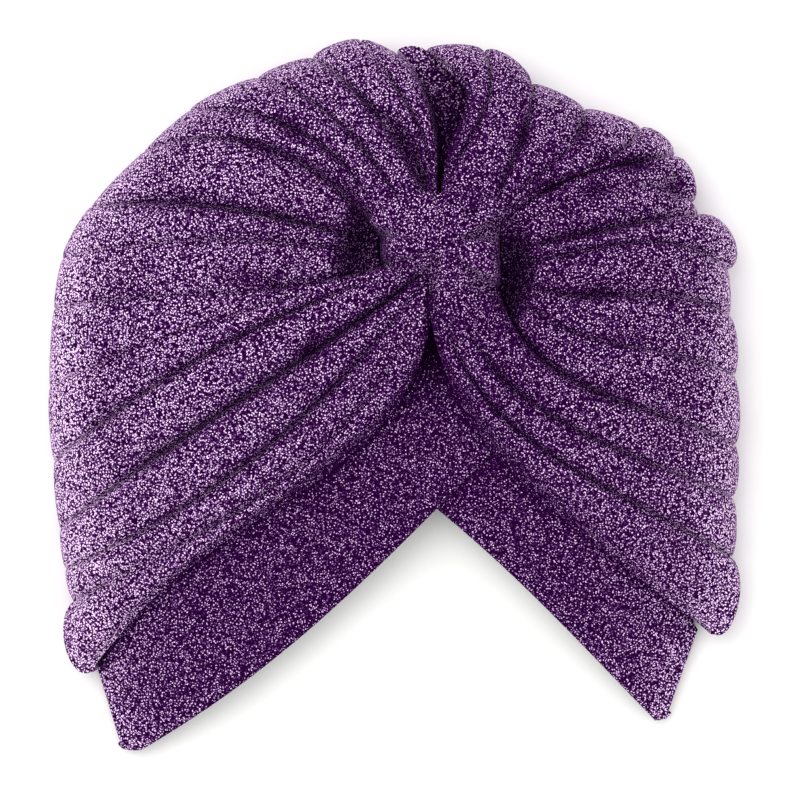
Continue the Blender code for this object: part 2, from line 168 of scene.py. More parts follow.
def along(line, t):
    """Points of the cubic curve: s^3 a + 3 s^2 t b + 3 s t^2 c + t^3 d, with s = 1 - t."""
    a, b, c, d = handles(line)
    t = np.asarray(t, float)[:, None]
    s = 1.0 - t
    return s**3 * a + 3.0 * s**2 * t * b + 3.0 * s * t**2 * c + t**3 * d


def left_of(line, t):
    """Unit vectors to the left of the cubic curve, from its slope turned by a right angle."""
    a, b, c, d = handles(line)
    t = np.asarray(t, float)[:, None]
    s = 1.0 - t
    slope = s**2 * (b - a) + 2.0 * s * t * (c - b) + t**2 * (d - c)
    slope /= np.linalg.norm(slope, axis=1, keepdims=True)
    return np.column_stack([-slope[:, 1], slope[:, 0]])


def inward_of(side, x, y):
    """Distance inward of a side: the way from its point, measured along its direction, or 0."""
    across, up = heading(side[2])
    return np.clip(across * (x - side[0]) + up * (y - side[1]), 0.0, None)


def band_height(x, y):
    """Height of the band's front over the floor: a corner height, a swell that grows as tanh with
    the distance from the nearer side, and a rise with the distance above the hem."""
    side = np.minimum(inward_of(LEFT_SIDE, x, y), inward_of(RIGHT_SIDE, x, y))
    above = y - HEM_PEAK[1] + HEM_FALL * (np.hypot(x - HEM_PEAK[0], HEM_SOFT) - HEM_SOFT)
    swell = HEM_SWELL * np.tanh(side / HEM_SWELL_RUN)
    rise = HEM_RISE * np.clip(above, 0.0, None) * np.tanh(side / HEM_RISE_RUN)
    return CORNER_HEIGHT + swell + rise


def band_lap(x):
    """How far the first end is lifted to lie over the last: smooth steps up and down along x."""
    start = smooth((x - LAP_STARTS[0]) / (LAP_STARTS[1] - LAP_STARTS[0]))
    end = smooth((x - LAP_ENDS[0]) / (LAP_ENDS[1] - LAP_ENDS[0]))
    return LAP_LIFT * start * (1.0 - end)


def band_top(x, y):
    """Height that is clear of the band everywhere: its own height plus the lap."""
    return band_height(x, y) + band_lap(x)


def under_drape(drape, corner, t):
    """The band's upper edge: the drape's hem moved TUCK under the drape, which leaves it near the
    rim for the side corner by a smooth step."""
    side = math.copysign(1.0, corner[0])
    tucked = along(drape, t) + TUCK * side * left_of(drape, t)
    leaves = smooth((t - TUCK_ENDS) / (1.0 - TUCK_ENDS))[:, None]
    return mix(tucked, np.array(corner), leaves)


def front_half(hem_line, drape, corner, free_top, corner_first):
    """Hem and upper edge of one front half, from the side corner to the free end, which the upper
    edge reaches by a smooth step."""
    s = np.linspace(0.0, 1.0, FRONT_STATIONS)
    hem = along(hem_line, s if corner_first else 1.0 - s)
    top = under_drape(drape, corner, 1.0 - np.minimum(s / END_SHARE, 1.0))
    end = smooth((s - END_SHARE) / (1.0 - END_SHARE))[:, None]
    return hem, mix(top, np.array(free_top), end)


def through(stations, steps):
    """A Catmull-Rom curve through rows of numbers, whose ends are drawn on straight."""
    rows = np.array(stations, float)
    rows = np.vstack([2 * rows[0] - rows[1], rows, 2 * rows[-1] - rows[-2]])
    t = np.linspace(0.0, 1.0, steps, endpoint=False)[None, :, None]
    a, b, c, d = (rows[i : len(rows) - 3 + i, None, :] for i in range(4))
    curve = b + 0.5 * t * (c - a + t * (2 * a - 5 * b + 4 * c - d + t * (3 * (b - c) + d - a)))
    return np.vstack([curve.reshape(-1, rows.shape[1]), rows[-2]])


def unevenness(x, y, length, seed):
    """Soft seeded unevenness of about -1 to 1 in plan: a sum of sine waves in all directions,
    with wavelengths round the one given."""
    draw = np.random.default_rng(seed)
    turn, phase = draw.uniform(0.0, 2.0 * math.pi, (2, WAVES))
    wave = 2.0 * math.pi / (length * draw.uniform(*WAVE_SPREAD, WAVES))
    x, y = np.asarray(x)[..., None], np.asarray(y)[..., None]
    waves = np.sin(wave * (x * np.cos(turn) + y * np.sin(turn)) + phase)
    return waves.sum(axis=-1) * math.sqrt(2.0 / WAVES) / 2.0


def distance_to(line, x, y):
    """Distance in plan to the nearest of many points of a line."""
    curve = along(line, np.linspace(0.0, 1.0, HEM_SAMPLES))
    return np.hypot(x[..., None] - curve[:, 0], y[..., None] - curve[:, 1]).min(axis=-1)


def headband_surface():
    """The band's outer skin, stations along it by points from its hem to its upper edge, and its painted
    light.

    A point is the mix of hem and upper edge in plan, at the station's level times the band's height, plus
    the lap on the first half and less the dip. The last HEM_ROLL before the hem turns down as a quarter
    circle. The painted light is a painted sheen that grows with exp(-d / run) of the distance d from a side,
    and painted shade and shadow that grow with exp(-(d / run)^2) of that from the dip, a hem or the lap.
    """
    inset_x, inset_y = CORNER_INSET
    left_corner = (LEFT_CORNER[0].top_x + inset_x, LEFT_CORNER[0].top_y + inset_y)
    right_corner = (RIGHT_CORNER[-1].top_x - inset_x, RIGHT_CORNER[-1].top_y + inset_y)
    left_hem, left_top = front_half(LEFT_HEM, LEFT_DRAPE, left_corner, LEFT_END_TOP, True)
    right_hem, right_top = front_half(RIGHT_HEM, RIGHT_DRAPE, right_corner, RIGHT_START_TOP, False)
    first = np.column_stack([left_hem, left_top, np.ones(FRONT_STATIONS)])[::-1]
    last = np.column_stack([right_hem, right_top, np.ones(FRONT_STATIONS)])
    turn = through([first[-1], *LEFT_CORNER, *BACK, *RIGHT_CORNER, last[0]], STEPS_BETWEEN)
    rows = np.vstack([first[:-1], turn, last[1:]])
    lapped = (np.arange(len(rows)) < FRONT_STATIONS)[:, None]
    width = np.linalg.norm(rows[:, 2:4] - rows[:, 0:2], axis=1)[:, None]
    across = np.linspace(0.0, 1.0, BAND_ACROSS)[None, :] ** BAND_CROWDING
    x = mix(rows[:, 0:1], rows[:, 2:3], across)
    y = mix(rows[:, 1:2], rows[:, 3:4], across)
    height = band_height(x, y) + lapped * band_lap(x)
    sunk = np.exp(-((np.hypot(x - DIP_AT[0], y - DIP_AT[1]) / DIP_RUN) ** 2))
    height -= DIP_DEPTH * sunk
    for size, length, seed in BAND_LUMPS:
        height += size * unevenness(x, y, length, seed)
    level = np.clip(rows[:, 4:5], 0.0, 1.0)
    from_hem = np.clip(across * width / HEM_ROLL, 0.0, 1.0)
    roll = HEM_ROLL * (1.0 - np.sqrt(1.0 - (1.0 - from_hem) ** 2))
    floor_level = BAND_THICK * (1.0 - level)

    # Painted sheen at the folded sides, painted shade in the dip, and painted shadow at the drapes' hems and
    # beside the lap.
    side = np.minimum(inward_of(LEFT_SIDE, x, y), inward_of(RIGHT_SIDE, x, y))
    film_and_painted_light = BAND_EDGE_PAINTED_SHEEN * np.exp(-side / BAND_EDGE_RUN) - DIP_PAINTED_SHADE * sunk
    for drape in (LEFT_DRAPE, RIGHT_DRAPE):
        film_and_painted_light -= NEAR_HEM_PAINTED_SHADOW * np.exp(-((distance_to(drape, x, y) / NEAR_HEM_RUN) ** 2))
    under = (np.arange(len(rows)) > len(rows) - FRONT_STATIONS)[:, None]
    film_and_painted_light -= under * UNDER_LAP_PAINTED_SHADOW * np.exp(-((distance_to(LEFT_HEM, x, y) / UNDER_LAP_RUN) ** 2))
    return np.stack([x, y, floor_level + level * (height - roll)], axis=2), film_and_painted_light


def grid_normals(grid, turn):
    """Unit normals of a grid of points: the cross product of its two directions, times turn."""
    normals = np.cross(np.gradient(grid, axis=0), np.gradient(grid, axis=1)) * turn
    return normals / np.maximum(np.linalg.norm(normals, axis=2, keepdims=True), TINY)


def closed_mesh(name, points, quads, fans, film_and_painted_light, material):
    """A closed body of quads and triangle fans as an object in metres with smooth shading. The sign of the
    volume that its quads span from the origin says whether all its faces are turned round. Its float
    attribute says how much more or less of the metallised film is drawn at each point, which is mostly
    painted sheen and painted shade."""
    points = points * MM
    a, b, c, d = (points[quads[:, i]] for i in range(4))
    if (np.cross(a, b) * c + np.cross(a, c) * d).sum() < 0.0:
        quads = quads[:, ::-1]
        fans = fans[:, ::-1]
    mesh = bpy.data.meshes.new(name)
    mesh.from_pydata(points.tolist(), [], quads.tolist() + fans.tolist())
    mesh.attributes.new("film_and_painted_light", "FLOAT", "POINT").data.foreach_set("value", film_and_painted_light.ravel())
    mesh.shade_smooth()
    mesh.materials.append(material)
    piece = bpy.data.objects.new(name, mesh)
    bpy.context.scene.collection.objects.link(piece)
    return piece


def cloth_piece(name, outer, inner, film_and_painted_light, material):
    """A sheet of cloth between two grids of points, walled all round its edge."""
    rows, columns = outer.shape[:2]
    count = rows * columns
    index = np.arange(count).reshape(rows, columns)
    skin = np.stack([index[:-1, :-1], index[:-1, 1:], index[1:, 1:], index[1:, :-1]], axis=-1)
    skin = skin.reshape(-1, 4)
    edge = np.concatenate([index[0, :-1], index[:-1, -1], index[-1, :0:-1], index[:0:-1, 0]])
    there = np.roll(edge, -1)
    wall = np.stack([there, edge, edge + count, there + count], axis=-1)
    quads = np.concatenate([skin, skin[:, ::-1] + count, wall])
    points = np.concatenate([outer.reshape(-1, 3), inner.reshape(-1, 3)])
    return closed_mesh(name, points, quads, np.empty((0, 3), int), np.stack([film_and_painted_light, film_and_painted_light]), material)


# Glitter jersey: plain weft knit of matt polyester, with a flat thread of metallised film knitted in, which
# turns its face now to the eye and now away. It is drawn as pale lilac dots, dense but single, on a nearly
# black purple, with no gloss between them: partly the film's own pale colour and partly painted glint, set
# at random loops in the colour rather than by the light. Loose fibre gives a faint sheen.
# The loops of so fine a jersey are about half a millimetre. LOOP_MM draws them coarser, because
# dots any finer run together into one tone in the render.
THREAD = (
    (0.00, "240230"),
    (0.28, "41174d"),
    (0.50, "593268"),
    (0.72, "8c58a1"),
    (0.88, "d496e6"),
    (1.00, "ffe4ff"),
)
SHEEN = "a070c0"
FLECK_MM = 0.42
FLECK_TWIST = 0.2
LOOP_MM = 0.78
LOOP_GAP = 1.0
LOOP_CHANCE = 0.1
LOOP_MIDDLE = 0.06
PATCH_MM = 6.0
PATCH_CHANCE = 0.04
PAINTED_LIGHT_GAIN = 1.8
FLECK_STARTS = -0.12
FLECK_FULL = 0.24
FLECK_RAISED_MM = 0.2
FLECK_RELIEF = 0.4
FLECK_METAL = 0.2
JERSEY_ROUGHNESS = 0.5
JERSEY_GLOSS = 0.0
SHEEN_WEIGHT = 0.03
SHEEN_ROUGHNESS = 0.4


def linear(hex_colour):
    """An sRGB hex colour as linear red, green, blue and an alpha of 1."""
    parts = [int(hex_colour[i : i + 2], 16) / 255.0 for i in (0, 2, 4)]
    return [p / 12.92 if p <= 0.04045 else ((p + 0.055) / 1.055) ** 2.4 for p in parts] + [1.0]


def add_node(tree, kind, settings=None, links=None):
    """Adds a node of a kind to a node tree. Settings go to its properties or, where the key is an
    input, to that socket. Links give an input the output that it takes."""
    node = tree.nodes.new(kind)
    for key, value in (settings or {}).items():
        if isinstance(key, str) and hasattr(node, key):
            setattr(node, key, value)
        else:
            node.inputs[key].default_value = value
    for key, source in (links or {}).items():
        tree.links.new(source, node.inputs[key])
    return node


def glitter_jersey(name, shown):
    """The jersey's material. Its level is a fine noise, less the distance to the middle of the nearest loop,
    plus that loop's chance, a coarse noise for patches, the piece's attribute of painted sheen and shade
    times a gain, and shown. From FLECK_STARTS to FLECK_FULL of the level the thread goes from hidden to a
    pale fleck, partly the film's own colour and partly painted glint, and colour, metal and relief follow
    that."""
    material = bpy.data.materials.new(name)
    material.use_nodes = True
    tree = material.node_tree
    shader = tree.nodes["Principled BSDF"]
    place = add_node(tree, "ShaderNodeTexCoord").outputs["Object"]
    # The piece's attribute of painted sheen and painted shade.
    painted_light_node = add_node(tree, "ShaderNodeAttribute", {"attribute_name": "film_and_painted_light"})
    thread = add_node(
        tree,
        "ShaderNodeTexNoise",
        {"Scale": 1.0 / (FLECK_MM * MM), "Detail": 1.0, "Distortion": FLECK_TWIST},
        {"Vector": place},
    )
    patches = add_node(
        tree, "ShaderNodeTexNoise", {"Scale": 1.0 / (PATCH_MM * MM), "Detail": 2.0}, {"Vector": place}
    )
    loops = add_node(tree, "ShaderNodeTexVoronoi", {"Scale": 1.0 / (LOOP_MM * MM)}, {"Vector": place})
    chance = add_node(tree, "ShaderNodeSeparateColor", None, {"Color": loops.outputs["Color"]})
    by_loop = add_node(
        tree,
        "ShaderNodeMath",
        {"operation": "MULTIPLY_ADD", 1: LOOP_CHANCE, 2: shown - LOOP_MIDDLE},
        {0: chance.outputs["Red"]},
    )
    by_patch = add_node(
        tree,
        "ShaderNodeMath",
        {"operation": "MULTIPLY_ADD", 1: PATCH_CHANCE},
        {0: patches.outputs["Fac"], 2: by_loop.outputs[0]},
    )
    drawn = add_node(
        tree,
        "ShaderNodeMath",
        {"operation": "MULTIPLY_ADD", 1: PAINTED_LIGHT_GAIN},
        {0: painted_light_node.outputs["Fac"], 2: by_patch.outputs[0]},
    )
    spaced = add_node(
        tree,
        "ShaderNodeMath",
        {"operation": "MULTIPLY_ADD", 1: -LOOP_GAP},
        {0: loops.outputs["Distance"], 2: drawn.outputs[0]},
    )
    level = add_node(
        tree, "ShaderNodeMath", {"operation": "ADD"}, {0: thread.outputs["Fac"], 1: spaced.outputs[0]}
    )
    # Where the film is drawn as a pale fleck: partly its own colour and partly painted glint.
    fleck_and_glint = add_node(
        tree,
        "ShaderNodeMapRange",
        {"From Min": FLECK_STARTS, "From Max": FLECK_FULL},
        {"Value": level.outputs[0]},
    )
    ramp = add_node(tree, "ShaderNodeValToRGB", None, {"Fac": fleck_and_glint.outputs[0]})
    while len(ramp.color_ramp.elements) < len(THREAD):
        ramp.color_ramp.elements.new(0.5)
    for element, (position, colour) in zip(ramp.color_ramp.elements, THREAD):
        element.position = position
        element.color = linear(colour)
    relief = {"Strength": FLECK_RELIEF, "Distance": FLECK_RAISED_MM * MM}
    bump = add_node(tree, "ShaderNodeBump", relief, {"Height": fleck_and_glint.outputs[0]})
    metal = add_node(
        tree, "ShaderNodeMath", {"operation": "MULTIPLY", 1: FLECK_METAL}, {0: fleck_and_glint.outputs[0]}
    )
    tree.links.new(ramp.outputs["Color"], shader.inputs["Base Color"])
    tree.links.new(metal.outputs[0], shader.inputs["Metallic"])
    tree.links.new(bump.outputs["Normal"], shader.inputs["Normal"])
    shader.inputs["Roughness"].default_value = JERSEY_ROUGHNESS
    shader.inputs["Specular IOR Level"].default_value = JERSEY_GLOSS
    shader.inputs["Sheen Weight"].default_value = SHEEN_WEIGHT
    shader.inputs["Sheen Roughness"].default_value = SHEEN_ROUGHNESS
    shader.inputs["Sheen Tint"].default_value = linear(SHEEN)
    return material


# The band and the back take a copy of the jersey with less film shown than the gathered copy: painted shade
# that draws the band darker than the crown of the same cloth.
SMOOTH_SHOWN_WITH_SHADE = -0.15
smooth_jersey_painted_shade = glitter_jersey("smooth_glitter_jersey_painted_shade", SMOOTH_SHOWN_WITH_SHADE)
band_outer, band_painted_light = headband_surface()
band_inner = band_outer + grid_normals(band_outer, 1.0) * BAND_THICK
headband = cloth_piece("headband_strip", band_outer, band_inner, band_painted_light, smooth_jersey_painted_shade)
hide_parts("headband")
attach(headband, "root")

# Back of the crown
# One flat panel of the same jersey, sewn to the fronts all round the rim and to the back of the
# headband. The cap lies on it, so only its edge can be seen.

# The fold tables: each row is a crease and the fold after it. The crease leaves the knot at root_x,
# root_y in the direction leave, and reaches the rim at rim_x, rim_y in the direction arrive, with
# handles of pull. The folds' crests there are root_z high at the knot, swell_z in the middle and
# edge_z at the rim. The crease is cut root_cut, mid_cut and edge_cut below them, and its flanks
# reach so far to each side. The fold after it stands lobe out of the outline at the rim. By the
# share sink it is drawn down to SUNK_LEVEL, until the time sink_ends, where a time is 0 at the knot
# and 1 at the rim. Its crest goes from this crease's to the next one's with the share to the power
# lean.
Fold = namedtuple(
    "Fold",
    "name root_x root_y leave rim_x rim_y arrive pull root_z swell_z edge_z "
    "root_cut mid_cut edge_cut reach lobe sink sink_ends lean",
    defaults=(0, 1, 1),
)
LEFT_FOLDS = (
    Fold("parting_floor", 17.0, 68.2, 82, 12.2, 128.5, 142, 0.60, 50, 47, 12, 0, 0, 5, 3.7, 3.2, 0.93, 2),
    Fold("parting_left", 15.4, 68.4, 86, 1.5, 127.0, 128, 0.38, 53, 47, 12, 1, 4, 5, 2.6, 1.8),
    Fold("top_inner", 14.6, 68.6, 88, -12.5, 132.2, 126, 0.38, 54, 47, 12, 2, 5, 3, 2.6, 2.5, 0.45, 0.3),
    Fold("top_deep", 12.6, 68.8, 112, -30.5, 125.5, 143, 0.38, 54, 48, 12, 3, 9, 4, 3.2, 1.8),
    Fold("shoulder", 4.2, 67.6, 122, -51.0, 118.0, 162, 0.38, 54, 48, 12, 2, 5, 4, 2.8, 2.0),
    Fold("hollow_edge", -5.2, 62.0, 110, -76.4, 106.0, 182, 0.38, 52, 48, 12, 1, 4.3, 4, 3.1, 0.8, lean=2.2),
    Fold("side_1", -5.8, 58.5, 124, -93.8, 90.3, 200, 0.38, 26, 47, 12, 1, 4.3, 4, 3.1, 0.8),
    Fold("side_2", -5.8, 55.5, 164, -113.5, 70.0, 184, 0.38, 23, 46, 12, 2, 7.2, 4, 3.4, 1.5),
    Fold("side_3", -5.8, 51.8, 172, -124.0, 51.0, 190, 0.38, 22, 45, 12, 1, 2.5, 2, 5, 0.8),
    Fold("drape_edge", -5.2, 47.2, 198, -127.2, 32.0, 190, 0.38, 24, 45, 12, 1, 2, 3, 3.1, 0.8, lean=0.2),
    Fold("side_4", -1.5, 46.2, 198, -128.8, 2.5, 206, 0.38, 49, 45, 12, 0, 1.5, 2, 3.7, 1.2),
    Fold("drape_1", 4.0, 45.8, 198, -127.2, -25.0, 218, 0.38, 51, 44, 12, 0, 5, 4, 2.8, 1.0),
    Fold("drape_2", 11.4, 44.6, 217, -125.0, -50.5, 218, 0.38, 48, 43, 11, 9, 9.4, 4, 2.8, 1.0),
    Fold("drape_3", 12.2, 41.6, 231, -123.0, -65.5, 204, 0.38, 46, 42, 10, 1, 6.5, 3, 2.8, 1.2),
    Fold("drape_4", 12.4, 38.6, 250, -120.0, -77.5, 208, 0.38, 45, 40, 9, 0, 3, 3, 3.7, 8.5),
    Fold("drape_hem", *LEFT_DRAPE, 44, 0, 0, 1, 6, 1, 5, 0.0),
)
RIGHT_FOLDS = (
    Fold("parting_right", 16.6, 68.2, 84, 12.6, 128.5, 142, 0.65, 52, 46, 12, 1, 3, 5, 2.6, 3.2),
    Fold("top_1", 18.6, 68.4, 84, 33.6, 128.0, 108, 0.45, 54, 48, 12, 0, 4.3, 5, 2.6, 4.4),
    Fold("top_2", 36.8, 66.4, 78, 51.2, 115.8, 92, 0.38, 54, 48, 12, 2, 5.8, 4, 3.1, 2.0),
    Fold("top_3", 38.8, 64.8, 60, 71.0, 106.5, 88, 0.38, 50, 48, 12, 1, 2.5, 4, 3.7, 2.0),
    Fold("top_4", 39.2, 63.4, 56, 92.0, 99.5, 62, 0.38, 47, 48, 12, 1, 2.5, 4, 3.7, 3.8),
    Fold("top_5", 39.4, 61.4, 50, 104.5, 88.5, 12, 0.38, 44, 47, 12, 2, 5.6, 5, 3.1, 4.8),
    Fold("pocket", 39.6, 57.0, 30, 111.5, 71.5, -30, 0.38, 36, 46, 12, 0, 1, 4, 4.3, 0.5),
    Fold("side_1", 39.8, 52.8, 10, 113.8, 66.8, 8, 0.38, 26, 46, 12, 1, 5.4, 4, 3.1, 8.0),
    Fold("side_2", 40.2, 46.8, 8, 124.8, 46.5, -36, 0.38, 22, 46, 12, 1, 3.6, 4, 3.1, 1.0),
    Fold("side_3", 40.3, 44.4, -32, 125.5, 29.0, -30, 0.38, 21, 45, 12, 1, 5, 4, 3.1, 2.6),
    Fold("side_4", 40.2, 42.0, -54, 127.0, 7.0, -24, 0.38, 21, 45, 12, 1, 3.6, 3, 3.4, 2.4),
    Fold("drape_edge", 39.6, 38.4, -78, 127.6, -19.0, -26, 0.38, 20, 44, 12, 2, 7, 3, 3.6, 2.4, lean=0.15),
    Fold("drape_1", 21.6, 35.6, -70, 126.5, -38.5, -24, 0.38, 52, 43, 11, 0, 5.8, 3, 2.8, 2.6),
    Fold("drape_2", 16.8, 35.8, -80, 126.0, -61.0, -32, 0.38, 50, 42, 10, 0, 5.8, 4, 2.8, 7.6),
    Fold("drape_hem", *RIGHT_DRAPE, 48, 0, 0, 1, 6, 1, 5, 0.0),
)

# The rim turns under by UNDER_RUN and goes on flat as a flange, towards the heart of the crown. At
# the parting it goes back along the crease, which arrives in the direction PARTING_ARRIVES.
UNDER_RUN = 8.0
FLANGE = 6.0
HEART = (5.0, 15.0)
PARTING_ARRIVES = 128
BACK_THICK = 1.2
BACK_GAP = 0.6
BACK_RINGS = 24


def turned_under(folds):
    """Unit steps in which the rim turns under at each crease: towards the heart of the crown, but
    back along the crease itself at the parting."""
    rim = np.array([[fold.rim_x, fold.rim_y] for fold in folds])
    step = np.array(HEART) - rim
    for k, fold in enumerate(folds):
        if fold.name.startswith("parting"):
            step[k] = -heading(PARTING_ARRIVES)
    return step / np.linalg.norm(step, axis=1, keepdims=True)


def ring_piece(name, outer, inner, film_and_painted_light, material):
    """A closed pad between two skins, each given in rings about its centre from the middle out, without a
    repeated last point. The centres become poles, and the outermost rings are joined. Both skins have the
    same painted light."""
    spokes = outer.shape[1]
    rings = np.concatenate([outer[1:], inner[:0:-1]])
    points = np.concatenate([rings.reshape(-1, 3), outer[:1, 0], inner[:1, 0]])
    index = np.arange(len(rings) * spokes).reshape(len(rings), spokes)
    after = np.roll(index, -1, axis=1)
    skin = np.stack([index[:-1], after[:-1], after[1:], index[1:]], axis=-1).reshape(-1, 4)
    top = np.full(spokes, len(points) - 2)
    bottom = np.full(spokes, len(points) - 1)
    first_fan = np.stack([top, after[0], index[0]], axis=-1)
    last_fan = np.stack([bottom, index[-1], after[-1]], axis=-1)
    fans = np.concatenate([first_fan, last_fan])
    painted_light_parts = np.concatenate([film_and_painted_light[1:].ravel(), film_and_painted_light[:0:-1].ravel(), film_and_painted_light[0, :1], film_and_painted_light[0, :1]])
    return closed_mesh(name, points, skin, fans, painted_light_parts, material)


def back_surface():
    """The back panel as rings about the heart: each ring is the mix of the heart and an outline
    that lies inside the turned rim and above the headband's back half."""
    run = UNDER_RUN + FLANGE + BACK_GAP
    sides = []
    for folds in (LEFT_FOLDS[1:], RIGHT_FOLDS):
        rim = np.array([[fold.rim_x, fold.rim_y] for fold in folds])
        sides.append(rim + turned_under(folds) * run)
    bottom = np.array([[station.top_x, station.top_y + BACK_GAP] for station in BACK])
    outline = np.vstack([sides[0], bottom[1:-1], sides[1][::-1]])
    share = np.linspace(0.0, 1.0, BACK_RINGS)[:, None, None]
    plan = mix(np.array(HEART), outline[None], share)
    return np.concatenate([plan, np.full(plan.shape[:2] + (1,), BACK_THICK)], axis=2)


back_outer = back_surface()
back_inner = back_outer - np.array([0.0, 0.0, BACK_THICK])
back_painted_light = np.zeros(back_outer.shape[:2])
crown_back = ring_piece("crown_back", back_outer, back_inner, back_painted_light, smooth_jersey_painted_shade)
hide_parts("back_panel")
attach(crown_back, "root")

# Left front
# A wide piece of the jersey gathered into the knot, so that it fans out from there in soft folds.
# It turns under at the rim, and its lowest fold hangs over the headband as a drape.

FRONT_THICK = 0.9

# The grid: rows along the folds, which crowd at both ends, columns across them, and rows round the
# rim.
ROWS = 150
ROWS_EVEN = 0.5
RIM_ROWS = 12
MM_PER_COLUMN = 1.6
FEWEST_COLUMNS = 8

# The crests swell to a pillow between knot and rim. They rise to it from the knot by ROOT_SHARE up
# to the time ROOT_REACH, and by the rest up to ROOT_SLOPES.
PILLOW_POWER = 3.0
PILLOW_ROUND = 0.5
ROOT_REACH = 0.15
ROOT_POWER = 1.2
ROOT_SHARE = 0.68
ROOT_SLOPES = 0.55

# The creases have their middle depth from CUT_FULL on and change to that of the rim after
# RIM_STARTS. ARCH_SHARE of a depth, counted up to ARCH_MOST, is the arch of the whole fold, and no
# crease is deeper than STEEPEST times its fold's width.
CUT_FULL = 0.35
RIM_STARTS = 0.55
ARCH_SHARE = 0.45
ARCH_MOST = 8.0
STEEPEST = 1.2

# The sunk folds, such as the floor of the parting.
SUNK_LEVEL = 12.0
SINK_STARTS = 0.14
SINK_FADES = 0.35
SINK_WALL = 1.6

# The drape's hem lies on the headband from HEM_LANDS on. Free edges roll under by ROLL_TURN, with
# less and less radius on their last way to the rim.
HEM_GAP = 1.2
HEM_LANDS = 0.4
ROLL = 1.7
ROLL_TURN = 200
ROLL_FADES = 0.9
ROLL_LEAST = 0.02
ROLL_COLUMNS = 9
PARTING_ROLL = 1.6
PARTING_ROLL_FULL = 0.3
PARTING_ROLL_LEAST = 0.05

# Painted light on the fronts: a painted sheen that shows more film near the rim, with a smaller share of it
# at the crown's top, and painted shade that shows less towards the knot, in sunk folds, wrinkles and
# creases, and in hollows pressed so deep.
RIM_PAINTED_SHEEN = 0.08
RIM_SHEEN_STARTS = 0.82
TOP_SHEEN_SHARE = 0.35
INNER_PAINTED_SHADE = 0.035
SUNK_PAINTED_SHADE = 0.03
WRINKLE_PAINTED_SHADE = 0.016
CREASE_PAINTED_SHADE = 0.07
HOLLOW_PAINTED_SHADE = 0.06
HOLLOW_PRESSED = (20.0, 36.0)

LUMPS = ((0.55, 26.0, 1), (0.3, 9.0, 2), (0.1, 3.5, 3))
LUMPS_FULL = 0.1

# Wrinkles that start or end within a fold. Each is a groove along a curve in plan, deepest in its
# middle, as wide as width on its sharp side and soft times that on the other, which is to the left
# of its direction.
Wrinkle = namedtuple("Wrinkle", "start_x start_y leave end_x end_y arrive pull depth width soft")
LEFT_WRINKLES = (
    Wrinkle(-71.0, 43.8, -8, -35.0, 37.4, -12, 0.38, 3.2, 1.5, 2.2),
    Wrinkle(-62.0, 95.0, -14, -33.0, 82.4, -26, 0.38, 2.6, 1.5, 2.0),
    Wrinkle(-51.0, 106.5, -30, -28.0, 88.0, -45, 0.38, 2.2, 2.4, 1.6),
    Wrinkle(-41.0, 116.0, -10, -8.0, 88.0, -52, 0.38, 1.2, 1.3, 1.6),
    Wrinkle(-99.0, 72.0, -2, -56.0, 70.8, -6, 0.38, 2.0, 2.0, 1.6),
    Wrinkle(-24.0, 22.6, 200, -37.0, 12.4, 218, 0.38, 4.0, 1.4, 2.4),
    Wrinkle(-98.0, -2.0, 208, -116.0, -14.0, 212, 0.38, 2.0, 2.0, 1.6),
    Wrinkle(-10.0, 60.0, 118, -22.0, 84.0, 128, 0.38, 1.6, 1.6, 1.6),
    Wrinkle(-88.0, 40.0, 184, -116.0, 36.0, 190, 0.38, 1.4, 2.4, 1.4),
    Wrinkle(-86.0, 18.0, 196, -118.0, 10.0, 190, 0.38, 1.3, 2.6, 1.4),
    Wrinkle(-66.0, -12.0, 206, -112.0, -34.0, 210, 0.38, 1.2, 2.4, 1.4),
    Wrinkle(-20.0, -5.0, 226, -52.0, -38.0, 218, 0.38, 1.0, 1.8, 1.6),
)
WRINKLE_STEPS = 40
WRINKLE_MARGIN = 8.0
WRINKLES_FADE = 0.93


def wrinkle_depth(plan, wrinkles):
    """How deep the wrinkles press into the points of a plan: for each one the depth, times
    sin(pi t) at the nearest point of its curve, times exp(-(d / width)^2) of the distance d. Only
    points near its middle are tried, as far as its length and a margin."""
    pressed = np.zeros(plan.shape[:2])
    t = np.linspace(0.0, 1.0, WRINKLE_STEPS)
    for wrinkle in wrinkles:
        line = Line(*wrinkle[:7])
        curve = along(line, t)
        left = left_of(line, t)
        reach = np.abs(plan - curve[WRINKLE_STEPS // 2]).max(axis=2)
        near = reach < np.linalg.norm(curve[-1] - curve[0]) + WRINKLE_MARGIN
        offset = plan[near][:, None] - curve
        nearest = np.linalg.norm(offset, axis=2).argmin(axis=1)
        offset = offset[np.arange(len(offset)), nearest]
        aside = (offset * left[nearest]).sum(axis=1)
        past = np.hypot(*(offset - aside[:, None] * left[nearest]).T)
        width = np.where(aside > 0.0, wrinkle.width * wrinkle.soft, wrinkle.width)
        fade = np.sin(math.pi * t[nearest]) * np.exp(-((past / wrinkle.width) ** 2))
        pressed[near] += wrinkle.depth * fade * np.exp(-((aside / width) ** 2))
    return pressed


def crease_line(fold):
    """A fold's crease as a line in plan, from the row's root_x to its pull."""
    return Line(*fold[1:8])


def over_band(x, y):
    """Height of a drape that clears the headband: the band's top, the gap, the cloth and the whole
    roll of its hem."""
    return band_top(x, y) + HEM_GAP + FRONT_THICK + 2.0 * ROLL


def arch_over(share):
    """1 at a fold's crest and 0 at its creases, as a half circle: sqrt(1 - (2 s - 1)^2)."""
    return np.sqrt(1.0 - (2.0 * share - 1.0) ** 2)


